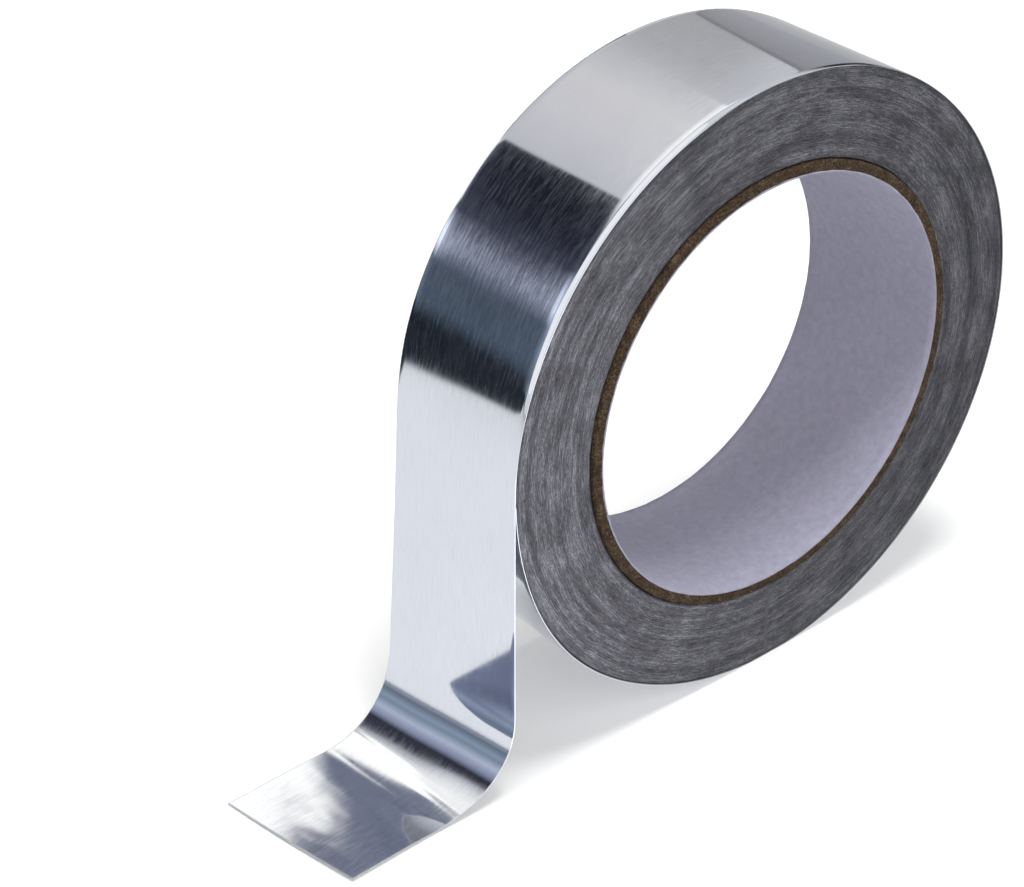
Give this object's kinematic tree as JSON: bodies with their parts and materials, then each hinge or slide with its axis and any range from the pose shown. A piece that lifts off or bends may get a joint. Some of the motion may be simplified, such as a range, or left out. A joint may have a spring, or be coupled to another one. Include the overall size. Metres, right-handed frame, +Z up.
{
  "type": "roll of aluminium foil tape",
  "caption": "Roll of bright aluminium foil tape on a board core with a pale paper lining, standing on its rim with its loose end bent onto the floor.",
  "frame": {"origin": "middle of the small flat under the roll, on the floor straight below the roll's axis", "axes": "+Z up, the roll's axis along Y, the loose end running towards -X"},
  "size_m": [0.1507, 0.0308, 0.1109],
  "materials": {
    "foil": "bright rolled foil, with dull cut edges on the side faces",
    "board": "raw brown kraft board, cut",
    "lining_paper": "matt pale lavender-grey paper"
  },
  "bodies": {
    "root": {"foil_tape": "foil", "core_tube": "board", "core_lining": "lining_paper"}
  },
  "joints": []
}
